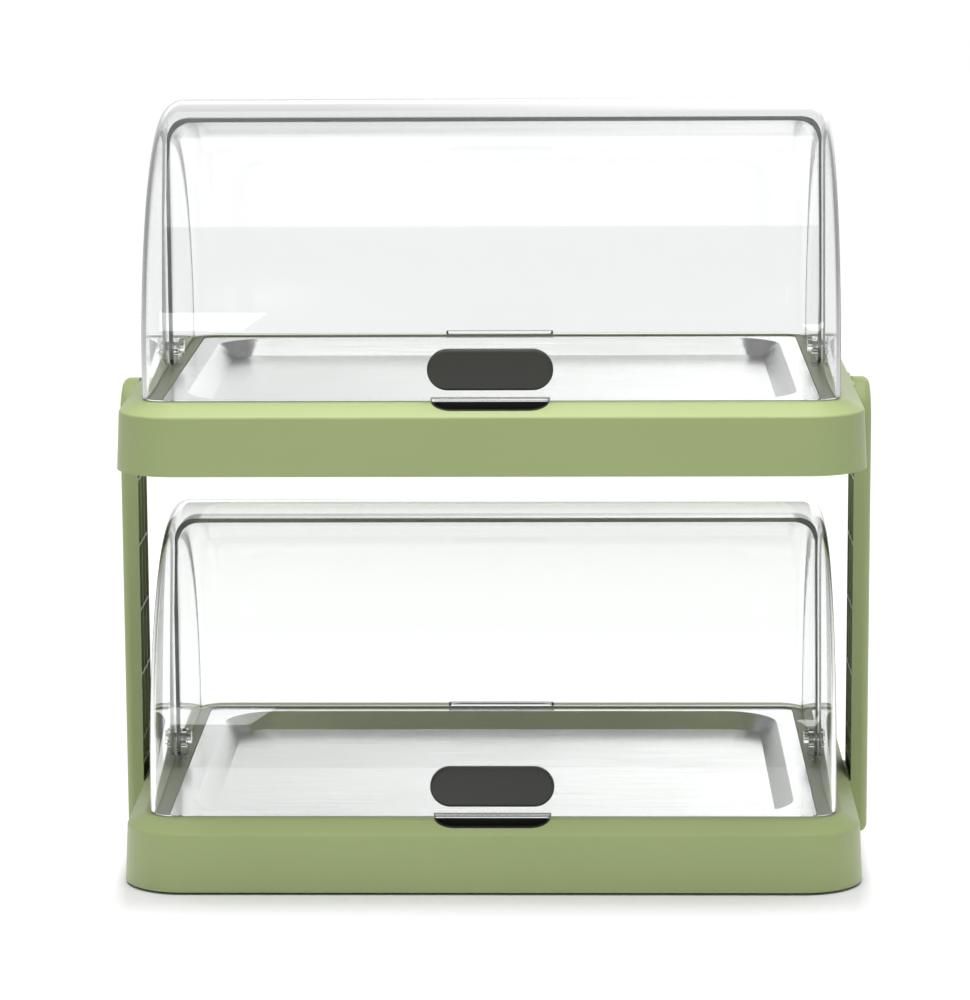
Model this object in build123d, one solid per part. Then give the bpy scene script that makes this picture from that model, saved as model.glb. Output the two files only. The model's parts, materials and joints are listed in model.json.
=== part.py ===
from build123d import *
import math
import os

# A two-tier chilled display for food. Each tier is a moulded base that holds a steel tray over
# two cooling packs, under a clear roll-top cover of two quarter-round shells on one axis.
# Millimetres. X runs to the right, Y to the back and Z up. The origin is on the table, under
# the middle of the lower base.

# Tiers
foot_height = 1.5
tier_spacing = 237.2

# Base moulding
base_width = 420.0
base_depth = 320.0
base_corner = 35.0
base_wall = 2.6
wall_lean = 1.6
rim_edge_height = 32.8
deck_height = 39.4
rim_slope_run = 10.4
rim_edge_round = 2.0
deck_edge_round = 5.0
rib_thickness = 1.8
front_rib_places = (62.0, 140.0)
side_rib_places = (42.0, 88.0)
floor_rib_pitch = 88.0
floor_rib_depth = 3.0
floor_rib_end_gap = 0.1
floor_rib_overlap = 0.2

# Tray and the well under it
tray_pin_gap = 0.4
tray_front_gap = 2.1
tray_rear_gap = 1.1
tray_corner = 7.0
tray_sheet = 0.8
tray_flange = 11.2
tray_end_flange = 8.96
tray_depth = 9.5
tray_wall_run = 10.0
basin_top_corner = 32.0
basin_floor_corner = 14.0
tray_below_deck = 0.5
tray_side_gap = 0.4
tray_seat_gap = 0.2
ledge_width = 6.0
end_ledge_width = 4.8
well_corner = 26.0

# Cooling packs
pack_gap = 3.0
pack_top_gap = 0.6
pack_corner = 16.0
pack_edge_bevel = 3.0
pack_groove_width = 9.0
pack_groove_depth = 3.0
pack_groove_margin = 32.0
pack_groove_round = 4.4
pack_plug_radius = 8.0
pack_plug_height = 5.0
pack_plug_inset = 22.0
plug_gap = 0.05
plug_slot_width = 1.6
plug_slot_depth = 1.2

# Clear cover
pivot_y = 2.0
pivot_rise = 11.6
shell_wall = 2.4
shell_side_wall = 2.2
shell_deck_gap = 0.5
cover_side_margin = 15.4
cover_front_margin = 17.0
cover_rear_margin = 23.5
front_lap = 3.0
rear_lap = 10.0
side_gap = 0.8
shell_corner = 13.0
lip_width = 66.0
lip_reach = 4.0
lip_thickness = 1.8
lip_corner = 2.4

# Hinge posts and pins
post_gap = 0.4
post_thickness = 2.8
post_head_radius = 5.6
post_leg_width = 5.0
post_leg_spread = 13.0
prong_width = 3.4
prong_length = 6.2
prong_barb = 0.8
slot_gap = 0.2
pin_radius = 2.4
pin_gap = 0.05
pin_head_radius = 4.4
pin_head_length = 2.6
pin_flutes = 8
pin_flute_radius = 0.8
pin_tip_length = 1.8
pin_tip_rise = 0.36
pin_tip_bead = 0.45
pin_tip_gap = 0.3
pin_slot_width = 1.0
pin_slot_length = 7.0

# Grip
grip_width = 70.0
grip_height = 23.0
grip_rise = 6.5
grip_thickness = 4.0
grip_gap = 0.12
grip_edge_round = 2.2
peg_spacing = 44.0
peg_radius = 1.8
peg_gap = 0.05
clip_radius = 4.2
clip_thickness = 1.4
clip_seat_gap = 0.2

# Finger pockets in the rim, each with a liner
pocket_width = 65.0
pocket_depth = 12.4
pocket_round_x = 11.7
pocket_round_y = 6.7
pocket_floor_drop = 5.6
front_pocket_reach = 4.4
rear_pocket_reach = 5.4
liner_wall = 1.2
liner_gap = 0.1
pocket_wall = 2.0

# Side columns
column_thickness = 10.0
column_width = 50.0
column_bottom = 2.0
column_top_below_edge = 0.4
column_wall = 2.2
column_rib = 1.6
column_bays = 3
column_rib_pitch = 39.0
column_first_rib = 57.5
column_edge_round = 4.5
column_end_margin = 3.0
column_least_bay = 13.0
pad_side_margin = 1.5
pad_end_margin = 1.8

# Column screws
screw_height = 17.0
screw_spacing = 26.0
screw_radius = 1.5
screw_gap = 0.05
screw_hole_gap = 0.3
screw_head_radius = 3.4
screw_head_height = 2.2
screw_head_bevel = 0.9
screw_end_gap = 0.8
boss_width = 8.8
seat_boss_width = 10.4
seat_boss_reach = 5.5

# Feet
foot_radius = 8.5
foot_peg_radius = 2.2
foot_peg_length = 3.4
foot_peg_gap = 0.05
foot_peg_end_gap = 0.6
foot_edge_bevel = 0.45
foot_inset_x = 48.0
foot_inset_y = 46.0
foot_pad_margin = 2.0

# Sizes that follow from the ones above
pivot_height = deck_height + pivot_rise
grip_centre_height = pivot_height + grip_rise
front_half_width = base_width / 2 - cover_side_margin
front_radius = base_depth / 2 + pivot_y - cover_front_margin
rear_radius = base_depth / 2 - pivot_y - cover_rear_margin
rear_half_width = front_half_width - shell_side_wall - side_gap
skirt = pivot_rise - shell_deck_gap
post_outer = rear_half_width - shell_side_wall - post_gap
post_inner = post_outer - post_thickness
tray_width = 2 * (post_inner - pin_head_length - tray_pin_gap)
tray_front = pivot_y - front_radius + shell_wall + tray_front_gap
tray_rear = pivot_y + rear_radius - shell_wall - tray_rear_gap
tray_length = tray_rear - tray_front
tray_middle = (tray_rear + tray_front) / 2
tray_top = deck_height - tray_below_deck
ledge_height = tray_top - tray_sheet - tray_seat_gap
basin_width = tray_width - 2 * tray_flange
basin_length = tray_length - 2 * tray_end_flange
well_width = tray_width + 2 * tray_side_gap - 2 * ledge_width
well_length = tray_length + 2 * tray_side_gap - 2 * end_ledge_width
well_floor = floor_rib_depth + base_wall
front_pocket_y = pivot_y - front_radius - front_pocket_reach
rear_pocket_y = pivot_y + rear_radius + rear_pocket_reach
pocket_bottom = rim_edge_height - pocket_floor_drop
column_inner = base_width / 2
column_outer = column_inner + column_thickness
column_top = foot_height + tier_spacing + rim_edge_height - column_top_below_edge
clip_rise = grip_rise + clip_radius
clip_back = math.sqrt((front_radius - shell_wall) ** 2 - clip_rise ** 2) - clip_seat_gap
tier_bottoms = {"lower": foot_height, "upper": foot_height + tier_spacing}


def rounded_plate(width, depth, radius, bottom, top, middle=0.0):
    """Upright block with rounded corners, from one height to another."""
    outline = RectangleRounded(width, depth, radius)
    return Pos(0, middle, bottom) * extrude(outline, amount=top - bottom)


def base_envelope(inset, top_drop):
    """Outside of the base moulding, shrunk by an inset and lowered at the top."""
    lean_angle = math.degrees(math.atan(wall_lean / rim_edge_height))
    slope_rise = deck_height - rim_edge_height
    slope_angle = math.degrees(math.atan(rim_slope_run / slope_rise))
    wall_height = rim_edge_height - top_drop
    lower = RectangleRounded(base_width - 2 * inset, base_depth - 2 * inset, base_corner - inset)
    wall = extrude(lower, amount=wall_height, taper=lean_angle)
    shoulder = wall.faces().sort_by(Axis.Z)[-1]
    return wall + extrude(shoulder, amount=slope_rise, dir=(0, 0, 1), taper=slope_angle)


def edges_at_height(shape, height):
    """Level edges of a shape that lie at one height."""
    return shape.edges().filter_by(
        lambda edge: abs(edge.bounding_box().min.Z - height) < 0.01
        and abs(edge.bounding_box().max.Z - height) < 0.01
    )


def pocket_block(facing, grow, bottom, top):
    """Upright block as large as a finger pocket plus a margin, its outer corners rounded."""
    width = pocket_width + 2 * grow
    depth = pocket_depth + 2 * grow
    round_x = pocket_round_x + grow
    round_y = pocket_round_y + grow
    middle = front_pocket_y if facing < 0 else rear_pocket_y
    outline = Sketch() + Rectangle(width - 2 * round_x, depth)
    outline += Pos(0, -facing * round_y / 2) * Rectangle(width, depth - round_y)
    for side in (-1, 1):
        corner = Pos(side * (width / 2 - round_x), facing * (depth / 2 - round_y))
        outline += corner * Ellipse(round_x, round_y)
    outline = outline & Rectangle(width, depth)
    return Pos(0, middle, bottom) * extrude(outline, amount=top - bottom)


def base_outside():
    """Solid with the base's outer shape, its rim edge and deck edge rounded."""
    body = base_envelope(0.0, 0.0)
    body = fillet(edges_at_height(body, deck_height), deck_edge_round)
    return fillet(edges_at_height(body, rim_edge_height), rim_edge_round)


def base_ribs(space, well):
    """Stiffening ribs between the outer wall and the well, open at the bottom."""
    rib_bottom = floor_rib_depth + base_wall
    height = deck_height - rib_bottom
    middle = (deck_height + rib_bottom) / 2
    ribs = Part()
    for place in front_rib_places:
        for side in (-1, 1):
            ribs += Pos(side * place, 0, middle) * Box(rib_thickness, base_depth, height)
    for place in side_rib_places:
        for side in (-1, 1):
            ribs += Pos(0, side * place, middle) * Box(base_width, rib_thickness, height)
    return (ribs & space) - well


def floor_ribs():
    """Grid of low ribs under the floor of the well."""
    ribs = Part()
    columns = int(well_width / 2 / floor_rib_pitch)
    rows = int(well_length / 2 / floor_rib_pitch)
    height = floor_rib_depth + floor_rib_overlap - floor_rib_end_gap
    middle = floor_rib_end_gap + height / 2
    for column in range(-columns, columns + 1):
        rib = Box(rib_thickness, well_length - base_wall, height)
        ribs += Pos(column * floor_rib_pitch, tray_middle, middle) * rib
    for row in range(-rows, rows + 1):
        rib = Box(well_width - base_wall, rib_thickness, height)
        ribs += Pos(0, tray_middle + row * floor_rib_pitch, middle) * rib
    return ribs


def foot_places():
    """Plan positions of the four feet."""
    reach_x = base_width / 2 - foot_inset_x
    reach_y = base_depth / 2 - foot_inset_y
    return [(x, y) for x in (-reach_x, reach_x) for y in (-reach_y, reach_y)]


def base_moulding():
    """Base of one tier: drafted wall, sloping rim, deck, tray ledge, pack well and ribs."""
    outside = base_outside()
    space = base_envelope(base_wall, base_wall)
    well_outer = rounded_plate(
        well_width + 2 * base_wall, well_length + 2 * base_wall, well_corner + base_wall,
        floor_rib_depth, deck_height - base_wall / 2, tray_middle,
    )
    recess_width = tray_width + 2 * tray_side_gap
    recess_length = tray_length + 2 * tray_side_gap
    ledge_block = rounded_plate(
        recess_width + 2 * base_wall, recess_length + 2 * base_wall, tray_corner + base_wall,
        ledge_height - base_wall, deck_height - base_wall / 2, tray_middle,
    )
    body = outside - space
    body += well_outer + ledge_block + base_ribs(space, well_outer)
    for facing in (-1, 1):
        boss = pocket_block(facing, pocket_wall, pocket_bottom - pocket_wall, deck_height)
        body += boss & outside
    for side in (-1, 1):
        pad_height = rim_edge_height - 2 * pad_end_margin
        pad_middle = rim_edge_height / 2
        pad_width = column_width + 2 * pad_side_margin
        pad_reach = wall_lean + base_wall
        body += Pos(side * (column_inner - pad_reach / 2), 0, pad_middle) * Box(
            pad_reach, pad_width, pad_height
        )
    body -= rounded_plate(well_width, well_length, well_corner, well_floor, deck_height, tray_middle)
    body -= rounded_plate(
        recess_width, recess_length, tray_corner + tray_side_gap,
        ledge_height, deck_height + base_wall, tray_middle,
    )
    body += floor_ribs()
    for x, y in foot_places():
        pad_width = 2 * (foot_radius + foot_pad_margin)
        pad = Box(pad_width, pad_width, floor_rib_depth + base_wall / 2)
        body += Pos(x, y, (floor_rib_depth + base_wall / 2) / 2) * pad
    for x, y in foot_places():
        hole_depth = foot_peg_length + foot_peg_end_gap
        body -= Pos(x, y, hole_depth / 2) * Cylinder(foot_peg_radius + foot_peg_gap, hole_depth)
    for facing in (-1, 1):
        body -= pocket_block(facing, liner_gap, pocket_bottom, deck_height + liner_wall)
    for side in (-1, 1):
        for y in (-screw_spacing / 2, screw_spacing / 2):
            seat = Box(seat_boss_reach, seat_boss_width, seat_boss_width)
            seat_x = column_inner - wall_lean - seat_boss_reach / 2
            body += Pos(side * seat_x, y, screw_height) * seat
            hole = Cylinder(screw_radius + screw_hole_gap, 4 * seat_boss_reach, rotation=(0, 90, 0))
            body -= Pos(side * column_inner, y, screw_height) * hole
        for leg in (-1, 1):
            slot = Box(
                post_thickness + 2 * slot_gap, prong_width + 2 * slot_gap, 4 * base_wall
            )
            slot_x = side * (post_outer + post_inner) / 2
            body -= Pos(slot_x, pivot_y + leg * post_leg_spread / 2, deck_height) * slot
    return body


def finger_liner(facing, outside):
    """Black cup that lines a finger pocket, its mouth flush with the rim."""
    cup = pocket_block(facing, 0.0, pocket_bottom, deck_height)
    cup -= pocket_block(facing, -liner_wall, pocket_bottom + liner_wall, deck_height + liner_wall)
    return cup & outside


def steel_tray():
    """Drawn steel tray: flat flange round a shallow basin with sloping walls."""
    flange = rounded_plate(
        tray_width, tray_length, tray_corner, tray_top - tray_sheet, tray_top, tray_middle
    )

    def basin(grow, bottom, top):
        depth = top - bottom
        lower = RectangleRounded(
            basin_width - 2 * tray_wall_run + 2 * grow,
            basin_length - 2 * tray_wall_run + 2 * grow, basin_floor_corner + grow,
        )
        upper = RectangleRounded(
            basin_width + 2 * grow, basin_length + 2 * grow, basin_top_corner + grow
        )
        sections = [
            Pos(0, tray_middle, bottom) * lower, Pos(0, tray_middle, bottom + depth) * upper
        ]
        return loft(sections, ruled=True)

    outer = basin(tray_sheet, tray_top - tray_depth - tray_sheet, tray_top - tray_sheet / 2)
    inner = basin(0.0, tray_top - tray_depth, tray_top)
    return flange + outer - inner


def cooling_pack(side):
    """Flat moulded cooling pack with three cross grooves and a well for its plug."""
    width = (well_width - 3 * pack_gap) / 2
    length = well_length - 2 * pack_gap
    top = tray_top - tray_depth - tray_sheet - pack_top_gap
    middle_x = side * (width + pack_gap) / 2
    pack = rounded_plate(width, length, pack_corner, well_floor, top, tray_middle)
    pack = chamfer(edges_at_height(pack, top), pack_edge_bevel)
    for place in (-1, 0, 1):
        groove = Box(width - 2 * pack_groove_margin, pack_groove_width, 2 * pack_groove_depth)
        groove = fillet(groove.edges().filter_by(Axis.Z), pack_groove_round)
        pack -= Pos(0, tray_middle + place * length / 4, top) * groove
    plug_y = tray_middle - length / 2 + pack_plug_inset
    plug_well = Cylinder(pack_plug_radius + plug_gap, pack_plug_height)
    pack -= Pos(0, plug_y, top - pack_plug_height / 2) * plug_well
    return Pos(middle_x, 0, 0) * pack


def pack_plugs():
    """Filler plugs of the two cooling packs, with a coin slot."""
    width = (well_width - 3 * pack_gap) / 2
    length = well_length - 2 * pack_gap
    top = tray_top - tray_depth - tray_sheet - pack_top_gap
    plug_y = tray_middle - length / 2 + pack_plug_inset
    plug = Cylinder(pack_plug_radius, pack_plug_height)
    slot = Box(pack_plug_radius, plug_slot_width, 2 * plug_slot_depth)
    plug -= Pos(0, 0, pack_plug_height / 2) * slot
    plugs = Part()
    for side in (-1, 1):
        place = (side * (width + pack_gap) / 2, plug_y, top - pack_plug_height / 2)
        plugs += Pos(*place) * plug
    return plugs


def cover_section(radius, half_width):
    """Section of a cover shell through its axis: a wide U with rounded corners."""
    def field(width, height, corner):
        block = Pos(0, height / 2) * Rectangle(width, height)
        return fillet(block.vertices().sort_by(Axis.Y)[-2:], corner)

    outer = field(2 * half_width, radius, shell_corner)
    inner = field(
        2 * (half_width - shell_side_wall), radius - shell_wall, shell_corner - shell_wall
    )
    return outer - inner


def quarter_shell(radius, half_width, lap):
    """Quarter-round shell that opens forwards, its axis along X through the origin."""
    section = cover_section(radius, half_width)
    shell = revolve(Plane.XZ * section, Axis.X, 90)
    level = Plane(origin=(0, 0, 0), x_dir=(1, 0, 0), z_dir=(0, 0, -1))
    shell += extrude(level * section, amount=skirt)
    shell += extrude(Plane.XZ * section, amount=-lap)
    for side in (-1, 1):
        ear = Cylinder(skirt, shell_side_wall, rotation=(0, 90, 0))
        shell += Pos(side * (half_width - shell_side_wall / 2), 0, 0) * ear
    lip_root = shell_wall / 2
    lip_y = -(radius + (lip_reach - lip_root) / 2)
    lip = Box(lip_width, lip_reach + lip_root, lip_thickness)
    lip = fillet(lip.edges().filter_by(Axis.Z).sort_by(Axis.Y)[:2], lip_corner)
    shell += Pos(0, lip_y, lip_thickness / 2 - skirt) * lip
    bore = Cylinder(pin_radius + pin_gap, 3 * half_width, rotation=(0, 90, 0))
    return shell - bore


def peg_places():
    """Sideways places of the grip's two pegs."""
    return (-peg_spacing / 2, peg_spacing / 2)


def front_shell():
    """Outer shell of the cover, which rolls back over the inner one."""
    shell = quarter_shell(front_radius, front_half_width, front_lap)
    shell = Pos(0, pivot_y, pivot_height) * shell
    for x in peg_places():
        hole = Cylinder(peg_radius + peg_gap, 2 * shell_corner, rotation=(90, 0, 0))
        shell -= Pos(x, pivot_y - front_radius, grip_centre_height) * hole
    return shell


def rear_shell():
    """Inner shell of the cover, which rolls forwards under the outer one."""
    shell = mirror(quarter_shell(rear_radius, rear_half_width, rear_lap), about=Plane.XZ)
    return Pos(0, pivot_y, pivot_height) * shell


def front_grip():
    """Pill-shaped grip that follows the shell, with two pegs behind."""
    axis_place = Pos(0, pivot_y, pivot_height)

    def drum(radius):
        return axis_place * Cylinder(radius, 2 * grip_width, rotation=(0, 90, 0))

    outline = SlotOverall(grip_width, grip_height)
    reach = front_radius + 2 * grip_thickness
    pill = Pos(0, pivot_y, grip_centre_height) * extrude(Plane.XZ * outline, amount=reach)
    grip = (pill & drum(front_radius + grip_thickness)) - drum(front_radius + grip_gap)
    front_face = grip.faces().sort_by(Axis.Y)[0]
    grip = fillet(front_face.edges(), grip_edge_round)
    for x in peg_places():
        peg_end = pivot_y - clip_back + clip_thickness + clip_seat_gap
        peg_start = pivot_y - front_radius - grip_thickness / 2
        peg = Cylinder(peg_radius, peg_end - peg_start, rotation=(90, 0, 0))
        grip += Pos(x, (peg_start + peg_end) / 2, grip_centre_height) * peg
    return grip


def grip_clips():
    """Two push-on clips that hold the grip's pegs behind the shell."""
    clips = Part()
    for x in peg_places():
        clip = Cylinder(clip_radius, clip_thickness) - Cylinder(
            peg_radius + peg_gap, 2 * clip_thickness
        )
        clip_y = pivot_y - clip_back + clip_thickness / 2
        clips += Pos(x, clip_y, grip_centre_height) * Rotation(90, 0, 0) * clip
    return clips


def hinge_post(side):
    """Clear post on two legs that clip through the deck, with the eye for a hinge pin."""
    drop = pivot_rise
    outline = Sketch() + Circle(post_head_radius)
    for leg in (-1, 1):
        leg_y = leg * post_leg_spread / 2
        outline += Pos(leg_y, -drop / 2) * Rectangle(post_leg_width, drop)
        outline += Pos(leg_y, -drop - prong_length / 2) * Rectangle(prong_width, prong_length)
        barb_top = -drop - base_wall - slot_gap
        outer_face = leg * (post_leg_spread + prong_width) / 2
        barb = Polyline(
            (outer_face - leg * prong_width / 2, barb_top),
            (outer_face + leg * prong_barb, barb_top),
            (outer_face, -drop - prong_length),
            (outer_face - leg * prong_width / 2, -drop - prong_length),
            close=True,
        )
        outline += make_face(barb)
    outline -= Circle(pin_radius + pin_gap)
    post = extrude(Plane.YZ * outline, amount=post_thickness)
    place_x = post_inner if side > 0 else -post_outer
    return Pos(place_x, pivot_y, pivot_height) * post


def hinge_pin(side):
    """Hinge pin with a fluted head inside the cover and a split snap tip outside it."""
    head = Circle(pin_head_radius)
    for flute in range(pin_flutes):
        turn = 2 * math.pi * flute / pin_flutes
        place = Pos(pin_head_radius * math.cos(turn), pin_head_radius * math.sin(turn))
        head -= place * Circle(pin_flute_radius)
    pin = extrude(Plane.YZ * head, amount=pin_head_length)
    shaft_length = front_half_width + pin_tip_gap - post_inner
    tip_end = pin_head_length + shaft_length + pin_tip_length
    bead = pin_radius + pin_tip_bead
    shaft = Polyline(
        (0, 0),
        (0, pin_radius),
        (pin_head_length + shaft_length, pin_radius),
        (pin_head_length + shaft_length + pin_tip_rise, bead),
        (tip_end, pin_radius - pin_tip_bead),
        (tip_end, 0),
        close=True,
    )
    pin += revolve(make_face(shaft), Axis.X, 360)
    slot = Box(pin_slot_length, pin_slot_width, 4 * pin_radius)
    pin -= Pos(tip_end - pin_slot_length / 2, 0, 0) * slot
    pin = Pos(post_inner - pin_head_length, 0, 0) * pin
    if side < 0:
        pin = mirror(pin, about=Plane.YZ)
    return Pos(0, pivot_y, pivot_height) * pin


def column_outline(inset, bottom, top):
    """Side view of a column, square at the bottom and fully round at the top."""
    radius = column_width / 2 - inset
    height = top - inset - radius - bottom
    outline = Pos(0, bottom + height / 2) * Rectangle(2 * radius, height)
    return outline + Pos(0, bottom + height) * Circle(radius)


def screw_places():
    """Depth and height of each screw in a column."""
    heights = [bottom + screw_height for bottom in tier_bottoms.values()]
    return [(y, z) for z in heights for y in (-screw_spacing / 2, screw_spacing / 2)]


def column_pocket_rows():
    """Bottom and top of each row of pockets in the open span of a column."""
    low = tier_bottoms["lower"] + deck_height + column_end_margin
    high = tier_bottoms["upper"] - column_end_margin
    ribs = []
    height = column_first_rib
    while height < high - column_least_bay:
        ribs.append(height)
        height += column_rib_pitch
    bottoms = [low] + [rib + column_rib / 2 for rib in ribs]
    tops = [rib - column_rib / 2 for rib in ribs] + [high]
    return list(zip(bottoms, tops))


def side_column(side):
    """Upright that carries the upper base: a shallow moulding with a rib grid inside."""
    body = extrude(
        Plane.YZ * column_outline(0.0, column_bottom, column_top), amount=column_thickness
    )
    outer_face = body.faces().sort_by(Axis.X)[-1]
    body = fillet(outer_face.edges(), column_edge_round)
    pocket_depth_x = column_thickness - column_wall
    rows = column_pocket_rows()
    bay_span = column_width - 2 * column_wall
    bay = (bay_span - (column_bays - 1) * column_rib) / column_bays
    for bottom, top in rows:
        for number in range(column_bays):
            middle = (number - (column_bays - 1) / 2) * (bay + column_rib)
            pocket = Box(pocket_depth_x, bay, top - bottom)
            body -= Pos(pocket_depth_x / 2, middle, (bottom + top) / 2) * pocket
    foot_low = column_bottom + column_wall
    foot_high = rows[0][0] - column_wall
    body -= Pos(pocket_depth_x / 2, 0, (foot_low + foot_high) / 2) * Box(
        pocket_depth_x, bay_span, foot_high - foot_low
    )
    head_low = rows[-1][1] + column_wall
    body -= extrude(
        Plane.YZ * column_outline(column_wall, head_low, column_top), amount=pocket_depth_x
    )
    for y, z in screw_places():
        boss = Box(pocket_depth_x, boss_width, boss_width)
        body += Pos(pocket_depth_x / 2, y, z) * boss
    for y, z in screw_places():
        hole_length = pocket_depth_x
        hole = Cylinder(screw_radius + screw_gap, hole_length, rotation=(0, 90, 0))
        body -= Pos(hole_length / 2, y, z) * hole
    body = Pos(column_inner, 0, 0) * body
    if side < 0:
        body = mirror(body, about=Plane.YZ)
    return body


def column_screws(side):
    """Pan-head screws driven from inside the bases into a column."""
    seat_x = column_inner - wall_lean - seat_boss_reach
    end_x = column_outer - column_wall - screw_end_gap
    screws = Part()
    for y, z in screw_places():
        shank = Cylinder(screw_radius, end_x - seat_x, rotation=(0, 90, 0))
        head = Cylinder(screw_head_radius, screw_head_height, rotation=(0, 90, 0))
        inner_rim = head.faces().sort_by(Axis.X)[0].edges()
        head = chamfer(inner_rim, screw_head_bevel)
        screw = Pos((seat_x + end_x) / 2, y, z) * shank
        screw += Pos(seat_x - screw_head_height / 2, y, z) * head
        screws += screw
    if side < 0:
        screws = mirror(screws, about=Plane.YZ)
    return screws


def rubber_feet():
    """Four rubber feet, each pushed into the lower base by its peg."""
    feet = Part()
    for x, y in foot_places():
        disc = Pos(0, 0, foot_height / 2) * Cylinder(foot_radius, foot_height)
        disc = chamfer(edges_at_height(disc, 0.0), foot_edge_bevel)
        peg = Cylinder(foot_peg_radius, foot_peg_length)
        disc += Pos(0, 0, foot_height + foot_peg_length / 2) * peg
        feet += Pos(x, y, 0) * disc
    return feet


def tier_pieces():
    """Every piece of one tier, standing on its own bottom edge."""
    outside = base_outside()
    return {
        "base": base_moulding(),
        "tray": steel_tray(),
        "left_cooling_pack": cooling_pack(-1),
        "right_cooling_pack": cooling_pack(1),
        "pack_plugs": pack_plugs(),
        "front_shell": front_shell(),
        "rear_shell": rear_shell(),
        "front_grip": front_grip(),
        "grip_clips": grip_clips(),
        "left_hinge_post": hinge_post(-1),
        "right_hinge_post": hinge_post(1),
        "left_hinge_pin": hinge_pin(-1),
        "right_hinge_pin": hinge_pin(1),
        "front_finger_liner": finger_liner(-1, outside),
        "rear_finger_liner": finger_liner(1, outside),
    }


def write_pieces():
    """Write one STEP file for each node."""
    os.makedirs("parts", exist_ok=True)
    pieces = tier_pieces()
    for tier, bottom in tier_bottoms.items():
        for name, piece in pieces.items():
            export_step(Pos(0, 0, bottom) * piece, f"parts/{tier}_{name}.step")
    export_step(side_column(-1), "parts/left_column.step")
    export_step(side_column(1), "parts/right_column.step")
    export_step(column_screws(-1), "parts/left_column_screws.step")
    export_step(column_screws(1), "parts/right_column_screws.step")
    export_step(rubber_feet(), "parts/feet.step")


write_pieces()
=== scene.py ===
"""Studio scene of a two-tier chilled roll-top display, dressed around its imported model."""

import json
import logging
import math
from collections.abc import Iterable
from dataclasses import dataclass
from enum import Enum
from typing import Any

import bmesh
import bpy
from mathutils import Matrix, Vector


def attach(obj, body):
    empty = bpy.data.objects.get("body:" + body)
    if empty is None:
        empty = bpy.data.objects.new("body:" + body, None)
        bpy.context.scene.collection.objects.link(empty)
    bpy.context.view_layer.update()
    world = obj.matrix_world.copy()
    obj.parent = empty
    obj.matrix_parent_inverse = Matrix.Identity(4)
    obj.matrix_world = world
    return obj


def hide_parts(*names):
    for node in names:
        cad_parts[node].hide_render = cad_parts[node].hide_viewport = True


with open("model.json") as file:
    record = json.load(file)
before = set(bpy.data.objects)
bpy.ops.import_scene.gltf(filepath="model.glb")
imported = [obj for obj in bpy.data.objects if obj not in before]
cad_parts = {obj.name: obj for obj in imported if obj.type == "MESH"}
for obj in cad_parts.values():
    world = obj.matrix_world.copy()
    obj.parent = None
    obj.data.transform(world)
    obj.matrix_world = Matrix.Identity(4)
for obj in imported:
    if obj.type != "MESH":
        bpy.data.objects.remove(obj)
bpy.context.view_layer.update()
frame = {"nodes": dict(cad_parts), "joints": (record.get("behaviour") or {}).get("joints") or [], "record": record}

log = logging.getLogger("display")

Colour = tuple[float, float, float]
Span = tuple[float, float]

MM = 0.001
DARK: Colour = (0.0, 0.0, 0.0)


class Facing(Enum):
    """Which way a cover shell faces, as the sign of Y."""

    FRONT = -1
    REAR = 1


class Value:
    """Wraps a shader socket, so that Python arithmetic on it adds Math nodes."""

    def __init__(self, shader: "Shader", socket: bpy.types.NodeSocket) -> None:
        """Keeps the socket and the shader that it belongs to.

        Args:
            shader: The shader that new nodes go into.
            socket: The output that this value reads.
        """
        self.shader = shader
        self.socket = socket

    def _math(self, operation: str, first: Any, second: Any = 0.0, clamp: bool = False) -> "Value":
        """Adds one Math node.

        Args:
            operation: The Math node's operation.
            first: Its first value or link.
            second: Its second value or link.
            clamp: Whether the result is kept between 0 and 1.

        Returns:
            The node's result.
        """
        settings = {"operation": operation, "use_clamp": clamp}
        node = self.shader.add("ShaderNodeMath", settings, {0: first, 1: second})
        return Value(self.shader, node.outputs[0])

    def __add__(self, other: Any) -> "Value":
        """Sum."""
        return self._math("ADD", self, other)

    def __radd__(self, other: Any) -> "Value":
        """Sum, reflected."""
        return self._math("ADD", other, self)

    def __sub__(self, other: Any) -> "Value":
        """Difference."""
        return self._math("SUBTRACT", self, other)

    def __rsub__(self, other: Any) -> "Value":
        """Difference, reflected."""
        return self._math("SUBTRACT", other, self)

    def __mul__(self, other: Any) -> "Value":
        """Product."""
        return self._math("MULTIPLY", self, other)

    def __rmul__(self, other: Any) -> "Value":
        """Product, reflected."""
        return self._math("MULTIPLY", other, self)

    def __pow__(self, other: Any) -> "Value":
        """Power."""
        return self._math("POWER", self, other)

    def size(self) -> "Value":
        """The value without its sign."""
        return self._math("ABSOLUTE", self)

    def clamped(self) -> "Value":
        """The value kept between 0 and 1."""
        return self._math("ADD", self, 0.0, clamp=True)

    def rise(self, start: float, end: float) -> "Value":
        """A ramp from 0 at one value to 1 at another.

        Args:
            start: Where the ramp is 0.
            end: Where the ramp is 1.

        Returns:
            The clamped ramp.
        """
        return ((self - start) * (1.0 / (end - start))).clamped()


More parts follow.
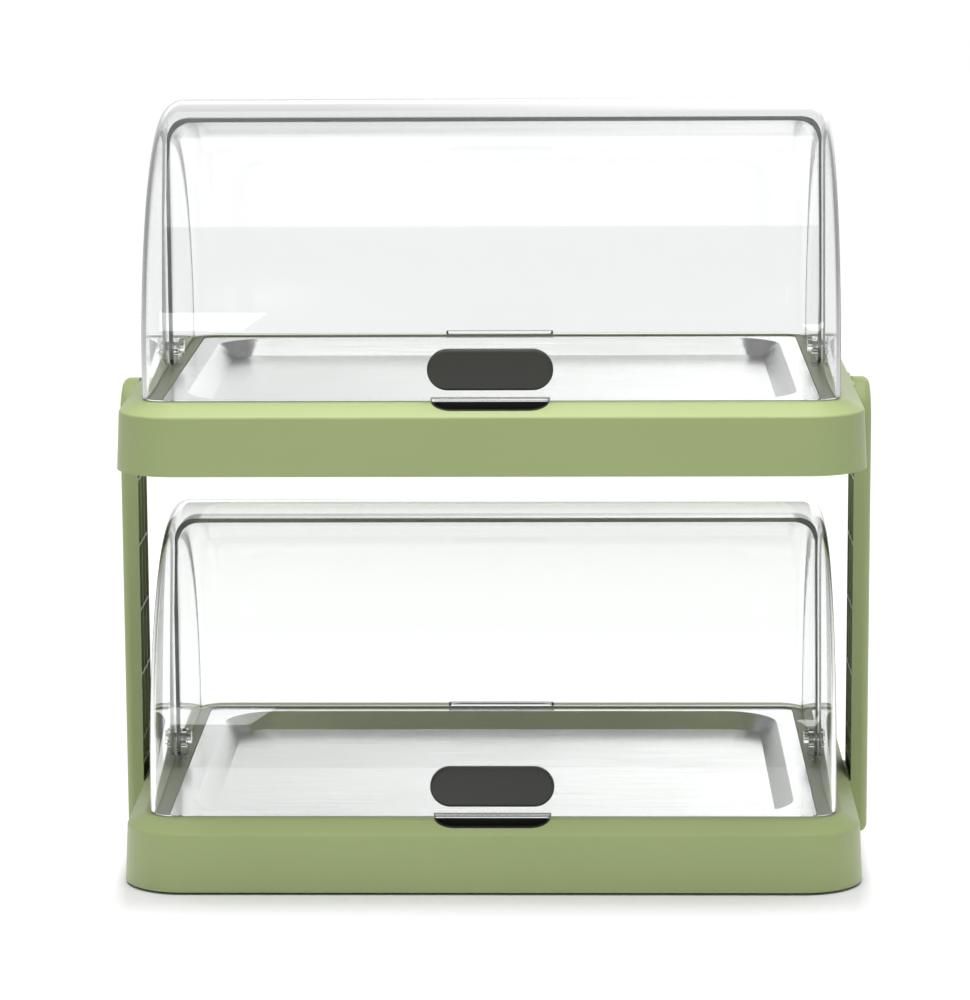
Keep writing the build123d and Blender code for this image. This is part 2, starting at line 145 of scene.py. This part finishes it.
class Shader:
    """A node tree with one method for every kind of node."""

    def __init__(self, owner: bpy.types.Material | bpy.types.World) -> None:
        """Empties the owner's node tree.

        Args:
            owner: The material or world to shade.
        """
        owner.use_nodes = True
        self.tree = owner.node_tree
        self.tree.nodes.clear()

    def add(
        self, kind: str, settings: dict[str, Any] | None = None, inputs: dict[Any, Any] | None = None
    ) -> bpy.types.Node:
        """Adds a node.

        Args:
            kind: The node's type.
            settings: Its own settings, set first.
            inputs: Values or links by socket name or number.

        Returns:
            The new node.
        """
        node = self.tree.nodes.new(kind)
        for name, setting in (settings or {}).items():
            setattr(node, name, setting)
        for name, given in (inputs or {}).items():
            if isinstance(given, Value):
                self.tree.links.new(given.socket, node.inputs[name])
            elif isinstance(given, bpy.types.NodeSocket):
                self.tree.links.new(given, node.inputs[name])
            else:
                node.inputs[name].default_value = given
        return node

    def value(
        self, kind: str, output: Any = 0, settings: dict[str, Any] | None = None,
        inputs: dict[Any, Any] | None = None,
    ) -> Value:
        """Adds a node and returns one of its outputs.

        Args:
            kind: The node's type.
            output: The output's name or number.
            settings: Its own settings.
            inputs: Values or links by socket name or number.

        Returns:
            The output as a value.
        """
        return Value(self, self.add(kind, settings, inputs).outputs[output])

    def place(self, stretch: tuple[float, float, float] = (1.0, 1.0, 1.0)) -> Value:
        """Object coordinates, stretched along the axes.

        Args:
            stretch: Scale of the pattern along X, Y and Z.

        Returns:
            The coordinates.
        """
        point = self.value("ShaderNodeTexCoord", "Object")
        return self.value("ShaderNodeMapping", 0, None, {"Vector": point, "Scale": stretch})

    def noise(self, point: Value, scale: float, detail: float = 2.0, roughness: float = 0.5) -> Value:
        """Fractal noise from 0 to 1.

        Args:
            point: Where the noise is read.
            scale: Its frequency.
            detail: Its number of octaves.
            roughness: How strong the fine octaves are.

        Returns:
            The noise.
        """
        inputs = {"Vector": point, "Scale": scale, "Detail": detail, "Roughness": roughness}
        return self.value("ShaderNodeTexNoise", 0, None, inputs)

    def mix(self, factor: Value, first: Colour, second: Colour) -> Value:
        """Mixes two colours.

        Args:
            factor: 0 gives the first colour and 1 the second.
            first: The first colour.
            second: The second colour.

        Returns:
            The mixed colour.
        """
        inputs = {0: factor, 6: (*first, 1.0), 7: (*second, 1.0)}
        return self.value("ShaderNodeMix", 2, {"data_type": "RGBA"}, inputs)

    def grey(self, level: Value, brightest: float) -> Value:
        """A grey of varying brightness, which may be brighter than white.

        Args:
            level: The brightness.
            brightest: The most that it can be.

        Returns:
            The colour.
        """
        return self.mix(level * (1.0 / brightest), DARK, (brightest, brightest, brightest))

    def bump(self, height: Value, strength: float, distance: float) -> Value:
        """Normal of a surface with fine relief.

        Args:
            height: The relief, from 0 to 1.
            strength: How much of the relief shows.
            distance: Its depth in metres.

        Returns:
            The normal.
        """
        inputs = {"Height": height, "Strength": strength, "Distance": distance}
        return self.value("ShaderNodeBump", 0, None, inputs)

    def surface(
        self, inputs: dict[str, Any], share: Value | None = None, second: dict[str, Any] | None = None
    ) -> None:
        """Ends the tree in a Principled shader, with a second one over part of it if asked.

        Args:
            inputs: The first shader's values or links.
            share: How much of the second shader shows, from 0 to 1.
            second: The second shader's values or links.
        """
        shader = self.add("ShaderNodeBsdfPrincipled", None, inputs)
        if second:
            over = self.add("ShaderNodeBsdfPrincipled", None, second)
            blend = {0: share, 1: shader.outputs[0], 2: over.outputs[0]}
            shader = self.add("ShaderNodeMixShader", None, blend)
        self.add("ShaderNodeOutputMaterial", None, {"Surface": shader.outputs[0]})


@dataclass(frozen=True)
class Moulding:
    """Moulded plastic with a fine satin grain."""

    name: str
    colour: Colour
    shade: Colour
    roughness: float = 0.42
    grain: float = 1500.0
    relief: float = 0.12
    sheen: float = 0.0
    relief_depth: float = 0.00012
    cloud: float = 9.0
    cloud_edges: Span = (0.3, 0.7)
    cloud_roughness: float = 0.08
    grain_roughness: float = 0.06

    def material(self) -> bpy.types.Material:
        """Builds the finish.

        Returns:
            The material.
        """
        material = bpy.data.materials.new(self.name)
        shader = Shader(material)
        point = shader.place()
        cloud = shader.noise(point, self.cloud, detail=3.0)
        grain = shader.noise(point, self.grain)
        uneven = (cloud - 0.5) * self.cloud_roughness
        fine = (grain - 0.5) * self.grain_roughness
        shader.surface({
            "Base Color": shader.mix(cloud.rise(*self.cloud_edges), self.colour, self.shade),
            "Roughness": self.roughness + uneven + fine,
            "Normal": shader.bump(grain, self.relief, self.relief_depth),
            "Sheen Weight": self.sheen,
        })
        return material


@dataclass(frozen=True)
class Steel:
    """Brushed stainless sheet, its grain along X."""

    name: str
    colour: Colour = (0.74, 0.74, 0.735)
    shade: Colour = (0.66, 0.66, 0.655)
    roughness: float = 0.24
    grain: float = 1400.0
    stretch: tuple[float, float, float] = (0.012, 1.0, 1.0)
    grain_edges: Span = (0.3, 0.7)
    grain_roughness: float = 0.16
    cloud: float = 14.0
    cloud_roughness: float = 0.05
    relief: float = 0.1
    relief_depth: float = 0.0001

    def material(self) -> bpy.types.Material:
        """Builds the finish.

        Returns:
            The material.
        """
        material = bpy.data.materials.new(self.name)
        shader = Shader(material)
        streak = shader.noise(shader.place(self.stretch), self.grain, detail=3.0, roughness=0.6)
        cloud = shader.noise(shader.place(), self.cloud)
        brushed = (streak - 0.5) * self.grain_roughness
        uneven = (cloud - 0.5) * self.cloud_roughness
        shader.surface({
            "Base Color": shader.mix(streak.rise(*self.grain_edges), self.colour, self.shade),
            "Roughness": self.roughness + brushed + uneven,
            "Normal": shader.bump(streak, self.relief, self.relief_depth),
            "Metallic": 1.0,
        })
        return material


@dataclass(frozen=True)
class Clear:
    """Clear styrene plastic, frosted in a narrow band where it was cut, if frost isn't 0."""

    name: str
    cut: float = 0.0
    frost: float = 0.0
    band: Span = (0.0012, 0.00156)
    frosting: Colour = (0.8, 0.82, 0.81)
    frosting_roughness: float = 0.6
    colour: Colour = (0.985, 0.995, 0.99)
    roughness: float = 0.0
    ior: float = 1.5

    def material(self) -> bpy.types.Material:
        """Builds the finish.

        Returns:
            The material.
        """
        material = bpy.data.materials.new(self.name)
        shader = Shader(material)
        clear = {
            "Base Color": (*self.colour, 1.0),
            "Roughness": self.roughness,
            "IOR": self.ior,
            "Transmission Weight": 1.0,
        }
        if not self.frost:
            shader.surface(clear)
            return material
        split = shader.add("ShaderNodeSeparateXYZ", None, {0: shader.place()})
        apart = (Value(shader, split.outputs["Y"]) - self.cut).size()
        share = self.frost * (1.0 - apart.rise(*self.band))
        frosted = {"Base Color": (*self.frosting, 1.0), "Roughness": self.frosting_roughness}
        shader.surface(clear, share, frosted)
        return material


GREEN = Moulding("green_moulding", (0.35, 0.425, 0.18), (0.335, 0.41, 0.17), sheen=0.15)
GREY = Moulding(
    "grip_grey", (0.036, 0.038, 0.031), (0.03, 0.032, 0.026),
    roughness=0.4, grain=1800.0, relief=0.1,
)
BLACK = Moulding("pocket_black", (0.012, 0.012, 0.011), (0.009, 0.009, 0.009), roughness=0.5)
RUBBER = Moulding("foot_rubber", (0.03, 0.03, 0.03), (0.022, 0.022, 0.022), roughness=0.7)
PACK = Moulding(
    "pack_blue", (0.42, 0.6, 0.72), (0.36, 0.54, 0.68), roughness=0.35, grain=600.0, relief=0.2
)
PLUG = Moulding("plug_white", (0.78, 0.8, 0.8), (0.72, 0.74, 0.74), roughness=0.4)
SHEET = Steel("steel_sheet")
PLATED = Steel(
    "plated_screw", (0.6, 0.6, 0.58), (0.52, 0.52, 0.5), roughness=0.3, grain=3000.0
)
COVER = Clear("clear_cover")
CUT_COVER = Clear("clear_cut_cover", cut=-0.008, frost=0.45)

FINISH_BY_SLOT = {
    "base_moulding": GREEN,
    "steel": SHEET,
    "pack": PACK,
    "plug": PLUG,
    "clear": COVER,
    "grip": GREY,
    "clip": GREY,
    "liner": BLACK,
    "screw": PLATED,
    "foot": RUBBER,
}


@dataclass(frozen=True)
class ShellSizes:
    """Sizes of one clear cover shell, with lengths in millimetres and its sharp turn in degrees."""

    radius: float
    half_width: float
    lap: float
    facing: Facing
    wall: float = 2.4
    side_wall: float = 2.2
    corner: float = 13.0
    skirt: float = 11.1
    lip_width: float = 66.0
    lip_reach: float = 4.0
    lip_thickness: float = 1.8
    lip_corner: float = 2.4
    inner_corner: float = 10.6
    bore_radius: float = 2.45
    edge_round: float = 0.45
    cut_round: float = 0.0
    sharp_turn: float = 50.0
    least_edge: float = 0.002
    same_place: float = 1e-4
    same_face: float = 1e-3
    turn_steps: int = 64
    corner_steps: int = 14
    bore_steps: int = 28
    ear_steps: int = 20
    lip_steps: int = 5
    cut_steps: int = 5
    edge_steps: int = 3


FRONT_SHELL = ShellSizes(radius=145.0, half_width=194.6, lap=3.0, facing=Facing.FRONT)
REAR_SHELL = ShellSizes(
    radius=134.5, half_width=191.6, lap=10.0, facing=Facing.REAR, cut_round=1.0, inner_corner=13.5
)


def once(items: Iterable[Any]) -> list[Any]:
    """Each item once and in its order, so that every run numbers a mesh's points alike."""
    return list(dict.fromkeys(items))


class ClearShell:
    """A quarter-round cover shell, swept as two skins that are joined at every cut edge."""

    def __init__(self, sizes: ShellSizes) -> None:
        """Keeps the sizes and starts an empty mesh.

        Args:
            sizes: The shell's sizes.
        """
        self.sizes = sizes
        self.work = bmesh.new()

    def _path(self, half_width: float, radius: float, corner: float) -> list[tuple[float, float]]:
        """One skin's section: across the shell at full radius, with a rounded corner at each end.

        Args:
            half_width: Half the skin's width.
            radius: The skin's radius.
            corner: Its corner radius.

        Returns:
            Points from left to right, each as X and distance from the axis.
        """
        steps = self.sizes.corner_steps
        arc = []
        for step in range(steps + 1):
            angle = math.pi / 2 * step / steps
            across = half_width - corner + corner * math.cos(angle)
            arc.append((across, radius - corner + corner * math.sin(angle)))
        left = [(-across, reach) for across, reach in arc]
        half_lip = self.sizes.lip_width / 2
        return left + [(-half_lip, radius), (half_lip, radius)] + arc[::-1]

    def _moved(self, edges: list[bmesh.types.BMEdge], step: Vector) -> list[bmesh.types.BMEdge]:
        """Extrudes a chain of edges by one step.

        Args:
            edges: The chain.
            step: How far it goes.

        Returns:
            The chain's new place.
        """
        made = bmesh.ops.extrude_edge_only(self.work, edges=edges)["geom"]
        points = [item for item in made if isinstance(item, bmesh.types.BMVert)]
        bmesh.ops.translate(self.work, verts=points, vec=step)
        return [item for item in made if isinstance(item, bmesh.types.BMEdge) and item.is_boundary
                and all(point in points for point in item.verts)]

    def _skin(self, half_width: float, radius: float, corner: float) -> dict[str, list[Any]]:
        """Sweeps one skin up the skirt, round the quarter turn and along the lap.

        Args:
            half_width: Half the skin's width.
            radius: The skin's radius.
            corner: Its corner radius.

        Returns:
            The edges at its foot and at its far end.
        """
        sizes = self.sizes
        path = self._path(half_width, radius, corner)
        points = [self.work.verts.new((across, -reach, -sizes.skirt)) for across, reach in path]
        foot = [self.work.edges.new(pair) for pair in zip(points, points[1:])]
        chain = self._moved(foot, Vector((0.0, 0.0, sizes.lip_thickness)))
        chain = self._moved(chain, Vector((0.0, 0.0, sizes.skirt - sizes.lip_thickness)))
        ends = once(point for edge in chain for point in edge.verts)
        turned = bmesh.ops.spin(
            self.work, geom=chain + ends, cent=(0.0, 0.0, 0.0), axis=(-1.0, 0.0, 0.0),
            angle=math.pi / 2, steps=sizes.turn_steps, use_merge=False, use_duplicate=False,
        )["geom_last"]
        chain = [item for item in turned if isinstance(item, bmesh.types.BMEdge)]
        return {"foot": foot, "end": self._moved(chain, Vector((0.0, sizes.lap, 0.0)))}

    def _rim(self, across: float) -> list[Vector]:
        """Free edge of a side wall, from the lap down round the ear to the skirt's foot.

        Args:
            across: The wall's X.

        Returns:
            Its points, without the first and the last.
        """
        sizes = self.sizes
        start = math.atan2(math.sqrt(sizes.skirt ** 2 - sizes.lap ** 2), sizes.lap)
        rim = []
        for step in range(sizes.ear_steps + 1):
            angle = start - (start + math.pi / 2) * step / sizes.ear_steps
            rim.append(Vector((
                across, sizes.skirt * math.cos(angle), sizes.skirt * math.sin(angle)
            )))
        return rim

    def _side(self, across: float) -> dict[str, list[bmesh.types.BMEdge]]:
        """Fills one face of a side wall between the swept skin, the rim and the pin's bore.

        Args:
            across: The wall face's X.

        Returns:
            The edges of its rim and of its bore.
        """
        near = self.sizes.same_place
        border = [edge for edge in self.work.edges if edge.is_boundary
                  and all(abs(point.co.x - across) < near for point in edge.verts)]
        points = once(point for edge in border for point in edge.verts)
        first = max(points, key=lambda point: (round(point.co.y, 3), point.co.z))
        last = min(points, key=lambda point: (round(point.co.z, 3), point.co.y))
        rim_points = [first] + [self.work.verts.new(place) for place in self._rim(across)] + [last]
        rim = [self.work.edges.new(pair) for pair in zip(rim_points, rim_points[1:])]
        circle = bmesh.ops.create_circle(
            self.work, cap_ends=False, segments=self.sizes.bore_steps, radius=self.sizes.bore_radius,
            matrix=Matrix.Translation((across, 0.0, 0.0)) @ Matrix.Rotation(math.pi / 2, 4, "Y"),
        )["verts"]
        bore = once(edge for point in circle for edge in point.link_edges)
        bmesh.ops.triangle_fill(
            self.work, edges=border + rim + bore, use_beauty=True, use_dissolve=False,
            normal=(math.copysign(1.0, across), 0.0, 0.0),
        )
        return {"rim": rim, "bore": bore}

    def _lip(self) -> None:
        """Draws the finger lip out of the foot of the outer skin."""
        sizes = self.sizes
        lip = Vector((0.0, -sizes.radius, sizes.lip_thickness / 2 - sizes.skirt))
        for face in self.work.faces:
            apart = face.calc_center_median() - lip
            if max(abs(apart.x), abs(apart.y), abs(apart.z)) < sizes.same_face:
                drawn = bmesh.ops.extrude_discrete_faces(self.work, faces=[face])["faces"][0]
                bmesh.ops.translate(
                    self.work, verts=list(drawn.verts), vec=(0.0, -sizes.lip_reach, 0.0)
                )
                upright = [edge for edge in drawn.edges
                           if abs(edge.verts[0].co.x - edge.verts[1].co.x) < sizes.same_place]
                bmesh.ops.bevel(
                    self.work, geom=upright, offset=sizes.lip_corner, offset_type="OFFSET",
                    segments=sizes.lip_steps, profile=0.5, affect="EDGES", material=-1,
                )
                return

    def _round(self, edges: list[bmesh.types.BMEdge], offset: float, segments: int) -> None:
        """Rounds edges.

        Args:
            edges: The edges.
            offset: How far the rounding reaches from them.
            segments: Its number of steps.
        """
        bmesh.ops.bevel(
            self.work, geom=edges, offset=offset, offset_type="OFFSET", segments=segments,
            profile=0.5, affect="EDGES", material=-1, clamp_overlap=True,
        )

    def _round_edges(self, cut: list[bmesh.types.BMEdge]) -> None:
        """Rounds the inside of the cut edge more than every other edge, if the sizes ask for it.

        Args:
            cut: The inner edges of the cut that faces the other shell.
        """
        sizes = self.sizes
        if sizes.cut_round:
            self._round(cut, sizes.cut_round, sizes.cut_steps)
        sharp = [edge for edge in self.work.edges
                 if edge.is_manifold and edge.calc_face_angle() > math.radians(sizes.sharp_turn)]
        self._round(sharp, sizes.edge_round, sizes.edge_steps)
        bmesh.ops.dissolve_degenerate(self.work, edges=self.work.edges, dist=sizes.least_edge)

    def build(self, name: str, pivot: Vector) -> bpy.types.Object:
        """Builds the shell.

        Args:
            name: The new object's name.
            pivot: Where its axis runs, in metres.

        Returns:
            The shell.
        """
        sizes = self.sizes
        outer = self._skin(sizes.half_width, sizes.radius, sizes.corner)
        inner_half = sizes.half_width - sizes.side_wall
        inner = self._skin(inner_half, sizes.radius - sizes.wall, sizes.inner_corner)
        sides = {across: self._side(across) for across in (
            -sizes.half_width, -inner_half, inner_half, sizes.half_width
        )}
        for part in ("foot", "end"):
            bmesh.ops.bridge_loops(self.work, edges=outer[part] + inner[part])
        for sign in (-1, 1):
            for part in ("rim", "bore"):
                pair = sides[sign * sizes.half_width][part] + sides[sign * inner_half][part]
                bmesh.ops.bridge_loops(self.work, edges=pair)
        self._lip()
        bmesh.ops.recalc_face_normals(self.work, faces=self.work.faces)
        self._round_edges(inner["end"] + sides[-inner_half]["rim"] + sides[inner_half]["rim"])
        if sizes.facing is Facing.REAR:
            bmesh.ops.scale(self.work, vec=(1.0, -1.0, 1.0), verts=self.work.verts)
            bmesh.ops.reverse_faces(self.work, faces=self.work.faces)
        bmesh.ops.scale(self.work, vec=(MM, MM, MM), verts=self.work.verts)
        bmesh.ops.translate(self.work, vec=pivot, verts=self.work.verts)
        open_edges = sum(1 for edge in self.work.edges if not edge.is_manifold)
        log.info("%s: %d open edges", name, open_edges)
        return smooth_object(name, self.work)


def smooth_object(name: str, work: bmesh.types.BMesh, crease: float = 32.0) -> bpy.types.Object:
    """Turns a mesh being built into a smoothly shaded object with sharp creases.

    Args:
        name: The new object's name.
        work: The mesh being built, which is freed.
        crease: Edges that turn more than this many degrees stay sharp.

    Returns:
        The object.
    """
    for face in work.faces:
        face.smooth = True
    for edge in work.edges:
        edge.smooth = edge.calc_face_angle(math.pi) < math.radians(crease)
    mesh = bpy.data.meshes.new(name)
    work.to_mesh(mesh)
    work.free()
    piece = bpy.data.objects.new(name, mesh)
    bpy.context.scene.collection.objects.link(piece)
    weights = piece.modifiers.new("weights", "WEIGHTED_NORMAL")
    weights.keep_sharp = True
    return piece


@dataclass
class Dresser:
    """Gives every node its finish, and stands smoothly shaded pieces in their places."""

    merge_distance: float = 2e-6

    def __post_init__(self) -> None:
        """Builds each finish once, and reads each node's slot and body and each cover's pivot."""
        self.materials = {slot: finish.material() for slot, finish in FINISH_BY_SLOT.items()}
        self.cut_cover = CUT_COVER.material()
        record = frame["record"]
        self.slots = {part["node"]: part["material_slot"] for part in record["subparts"]}
        bodies = record["behaviour"]["bodies"]
        self.bodies = {node: body for body, nodes in bodies.items() for node in nodes}
        self.pivots = {joint["child"]: Vector(joint["pos_m"]) for joint in frame["joints"]
                       if joint["type"] == "hinge"}

    def _finish(self, node: str) -> bpy.types.Material:
        """The finish of a node.

        Args:
            node: The node's name.

        Returns:
            The material.
        """
        if node.endswith("rear_shell"):
            return self.cut_cover
        return self.materials[self.slots[node]]

    def _stand_in(self, piece: bpy.types.Object, node: str) -> None:
        """Lets a piece stand for a node, with its body and the finish of its slot.

        Args:
            piece: The piece.
            node: The node's name.
        """
        piece.data.materials.append(self._finish(node))
        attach(piece, self.bodies[node])
        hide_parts(node)
        log.info("%s: %d faces", piece.name, len(piece.data.polygons))

    def _copied(self, node: str) -> bpy.types.Object:
        """Merged copy of a node's mesh.

        Args:
            node: The node's name.

        Returns:
            The copy.
        """
        work = bmesh.new()
        work.from_mesh(frame["nodes"][node].data)
        bmesh.ops.remove_doubles(work, verts=work.verts, dist=self.merge_distance)
        return smooth_object(f"{node}_skin", work)

    def dress(self) -> None:
        """Dresses the whole display."""
        shells = {"front_shell": FRONT_SHELL, "rear_shell": REAR_SHELL}
        for node, solid in sorted(frame["nodes"].items()):
            solid.data.materials.clear()
            solid.data.materials.append(self._finish(node))
            kind = node.partition("_")[2]
            if kind in shells:
                pivot = self.pivots[self.bodies[node]]
                piece = ClearShell(shells[kind]).build(f"{node}_skin", pivot)
            else:
                piece = self._copied(node)
            self._stand_in(piece, node)


@dataclass(frozen=True)
class SoftBox:
    """One soft light, which shows in reflections and through clear plastic if it is mirrored."""

    name: str
    place: tuple[float, float, float]
    target: tuple[float, float, float]
    size: tuple[float, float]
    radiance: float
    mirrored: bool = True

    def hang(self) -> None:
        """Adds the light to the scene."""
        data = bpy.data.lights.new(self.name, "AREA")
        data.shape = "RECTANGLE"
        data.size, data.size_y = self.size
        data.energy = self.radiance * math.pi * self.size[0] * self.size[1]
        light = bpy.data.objects.new(self.name, data)
        light.location = self.place
        light.visible_glossy = self.mirrored
        light.visible_transmission = self.mirrored
        light.rotation_mode = "QUATERNION"
        ahead = Vector(self.target) - Vector(self.place)
        light.rotation_quaternion = ahead.to_track_quat("-Z", "Y")
        bpy.context.scene.collection.objects.link(light)
        log.info("%s: radiance %.1f", self.name, self.radiance)


@dataclass
class Studio:
    """White floor and room, soft lights and the camera, whose angles are in degrees."""

    camera_place: tuple[float, float, float] = (0.0478, -2.3265, 0.6093)
    camera_pitch: float = 10.036
    camera_yaw: float = -1.338
    camera_roll: float = -0.311
    lens: float = 143.46
    sensor_width: float = 36.0
    far_clip: float = 60.0
    floor_reach: float = 12.0
    floor_colour: float = 0.72
    floor_glow: float = 1.01
    floor_brightest: float = 2.0
    near_glow: float = 1.16
    near_edges: Span = (1.1, 2.2)
    lane_middle: float = -0.06
    lane_start: float = -2.33
    lane_spread: float = 0.125
    lane_edges: Span = (0.1, 0.9)
    lane_fall: float = 0.7
    shade_half: Span = (0.2, 0.13)
    shade_squeeze: float = 6.0
    shade_edges: Span = (0.045, 0.12)
    room_brightest: float = 4.0
    horizon_light: float = 1.0
    back_edges: Span = (0.8, 0.93)
    side_edges: Span = (0.22, 0.5)
    strip_light: float = 0.75
    strip_bottom: Span = (0.12, 0.2)
    strip_top: Span = (0.26, 0.34)
    back_slope: float = 0.4
    slope_edges: Span = (-0.06, 0.06)
    front_light: float = 0.32
    boxes: tuple[SoftBox, ...] = (
        SoftBox("top_box", (0.0, -0.03, 1.85), (0.0, -0.03, 0.0), (0.9, 1.6), 1.45),
        SoftBox("top_fill", (0.0, -0.2, 1.86), (0.0, -0.2, 0.0), (1.2, 1.4), 6.9, mirrored=False),
        SoftBox("key_strip", (0.0, -0.02, 1.84), (0.0, -0.02, 0.0), (0.9, 0.22), 10.0, mirrored=False),
        SoftBox("left_strip", (-0.68, -2.5, 1.15), (0.0, 0.0, 0.3), (0.7, 0.38), 3.0),
        SoftBox("right_strip", (0.85, -2.5, 1.02), (0.0, 0.0, 0.3), (1.1, 0.14), 4.0),
    )

    def camera(self) -> None:
        """Sets the camera at the photographed angle."""
        data = bpy.data.cameras.new("camera")
        data.lens = self.lens
        data.sensor_width = self.sensor_width
        data.clip_end = self.far_clip
        pitch, yaw, roll = (
            math.radians(angle) for angle in (self.camera_pitch, self.camera_yaw, self.camera_roll)
        )
        ahead = Vector((
            math.sin(yaw) * math.cos(pitch), math.cos(yaw) * math.cos(pitch), -math.sin(pitch)
        ))
        level = Vector((math.cos(yaw), -math.sin(yaw), 0.0))
        upright = level.cross(ahead)
        right = level * math.cos(roll) + upright * math.sin(roll)
        up = upright * math.cos(roll) - level * math.sin(roll)
        turn = Matrix((right, up, -ahead)).transposed().to_4x4()
        camera = bpy.data.objects.new("camera", data)
        camera.matrix_world = Matrix.Translation(self.camera_place) @ turn
        bpy.context.scene.collection.objects.link(camera)
        bpy.context.scene.camera = camera

    def floor(self) -> None:
        """Lays the floor, pale round the display's foot and glowing like a light table elsewhere.

        The glow is weaker outside a lane that widens away from the camera, and stronger near
        the display than far behind it.
        """
        work = bmesh.new()
        bmesh.ops.create_grid(work, x_segments=1, y_segments=1, size=self.floor_reach)
        mesh = bpy.data.meshes.new("floor")
        work.to_mesh(mesh)
        work.free()
        floor = bpy.data.objects.new("floor", mesh)
        bpy.context.scene.collection.objects.link(floor)
        material = bpy.data.materials.new("pale_floor")
        shader = Shader(material)
        split = shader.add("ShaderNodeSeparateXYZ", None, {0: shader.place()})
        across = Value(shader, split.outputs["X"])
        back = Value(shader, split.outputs["Y"])
        spread = self.lane_spread * (back - self.lane_start)
        beyond = (across - self.lane_middle).size() - spread
        lane = 1.0 - self.lane_fall * beyond.rise(*self.lane_edges)
        aside = ((across.size() - self.shade_half[0]) * self.shade_squeeze).clamped()
        astern = (back.size() - self.shade_half[1]).clamped()
        apart = (aside * aside + astern * astern) ** 0.5
        glow = lane * apart.rise(*self.shade_edges)
        near = self.near_glow + (1.0 - self.near_glow) * back.rise(*self.near_edges)
        pale = (self.floor_colour, self.floor_colour, self.floor_colour)
        shader.surface({
            "Base Color": shader.mix(glow, pale, DARK),
            "Specular IOR Level": 0.0,
            "Roughness": 1.0,
            "Emission Color": shader.grey(glow * near, self.floor_brightest),
            "Emission Strength": self.floor_glow,
        })
        mesh.materials.append(material)

    def world(self) -> None:
        """Lights the room, bright straight behind the display and dim all round.

        The bright part has a brighter strip above the horizon, and its right half is brighter.
        """
        world = bpy.data.worlds.new("room")
        bpy.context.scene.world = world
        shader = Shader(world)
        direction = shader.add("ShaderNodeTexCoord").outputs["Generated"]
        split = shader.add("ShaderNodeSeparateXYZ", None, {0: direction})
        across = Value(shader, split.outputs["X"])
        behind = Value(shader, split.outputs["Y"]).rise(*self.back_edges)
        back = behind * (1.0 - across.size().rise(*self.side_edges))
        tilt = 1.0 + self.back_slope * (across.rise(*self.slope_edges) - 0.5)
        height = Value(shader, split.outputs["Z"])
        strip = height.rise(*self.strip_bottom) - height.rise(*self.strip_top)
        light = self.horizon_light + self.strip_light * strip
        level = self.front_light + (light * tilt - self.front_light) * back
        colour = shader.grey(level, self.room_brightest)
        background = shader.add("ShaderNodeBackground", None, {"Color": colour})
        shader.add("ShaderNodeOutputWorld", None, {"Surface": background.outputs[0]})

    def build(self) -> None:
        """Sets up the whole studio."""
        self.camera()
        self.floor()
        self.world()
        for box in self.boxes:
            box.hang()
        bpy.context.scene.view_settings.view_transform = "Standard"


def main() -> None:
    """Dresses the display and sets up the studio."""
    logging.basicConfig(level=logging.INFO, format="%(name)s: %(message)s")
    Dresser().dress()
    Studio().build()


if __name__ == "__main__":
    main()
